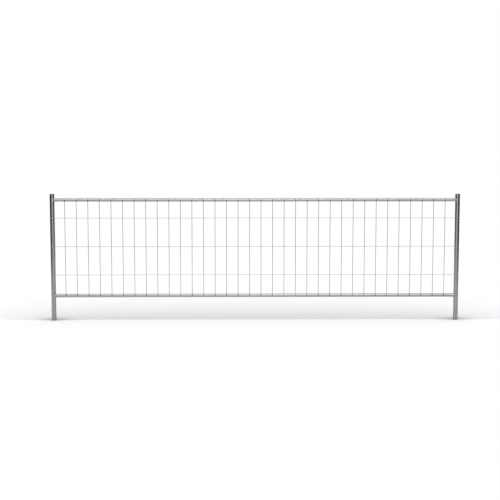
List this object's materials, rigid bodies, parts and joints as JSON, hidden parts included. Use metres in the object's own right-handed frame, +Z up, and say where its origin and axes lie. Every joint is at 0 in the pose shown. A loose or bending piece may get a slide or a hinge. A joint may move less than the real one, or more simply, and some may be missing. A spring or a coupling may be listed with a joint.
{
  "type": "crowd control barrier",
  "caption": "Low welded mesh barrier panel: two tubular posts joined by two rails, with a wire mesh welded to the front and a plastic cap on each post.",
  "frame": {"origin": "on the ground, at the middle of the barrier's length and depth", "axes": "+X along the barrier to the right as seen from the front, -Y is the front, which carries the mesh, +Z is up"},
  "size_m": [3.54, 0.0434, 1.1],
  "materials": {
    "galvanised_tube": "satin galvanised",
    "galvanised_wire": "satin galvanised",
    "cap_plastic": "matte"
  },
  "bodies": {
    "root": {"post_left": "galvanised_tube", "post_right": "galvanised_tube", "top_rail": "galvanised_tube", "bottom_rail": "galvanised_tube", "post_cap_left": "cap_plastic", "post_cap_right": "cap_plastic", "cross_wire_1": "galvanised_wire", "cross_wire_2": "galvanised_wire", "cross_wire_3": "galvanised_wire", "upright_wire_01": "galvanised_wire", "upright_wire_02": "galvanised_wire", "upright_wire_03": "galvanised_wire", "upright_wire_04": "galvanised_wire", "upright_wire_05": "galvanised_wire", "upright_wire_06": "galvanised_wire", "upright_wire_07": "galvanised_wire", "upright_wire_08": "galvanised_wire", "upright_wire_09": "galvanised_wire", "upright_wire_10": "galvanised_wire", "upright_wire_11": "galvanised_wire", "upright_wire_12": "galvanised_wire", "upright_wire_13": "galvanised_wire", "upright_wire_14": "galvanised_wire", "upright_wire_15": "galvanised_wire", "upright_wire_16": "galvanised_wire", "upright_wire_17": "galvanised_wire", "upright_wire_18": "galvanised_wire", "upright_wire_19": "galvanised_wire", "upright_wire_20": "galvanised_wire", "upright_wire_21": "galvanised_wire", "upright_wire_22": "galvanised_wire", "upright_wire_23": "galvanised_wire", "upright_wire_24": "galvanised_wire", "upright_wire_25": "galvanised_wire", "upright_wire_26": "galvanised_wire", "upright_wire_27": "galvanised_wire", "upright_wire_28": "galvanised_wire", "upright_wire_29": "galvanised_wire", "upright_wire_30": "galvanised_wire", "upright_wire_31": "galvanised_wire", "upright_wire_32": "galvanised_wire", "upright_wire_33": "galvanised_wire", "upright_wire_34": "galvanised_wire"}
  },
  "joints": []
}
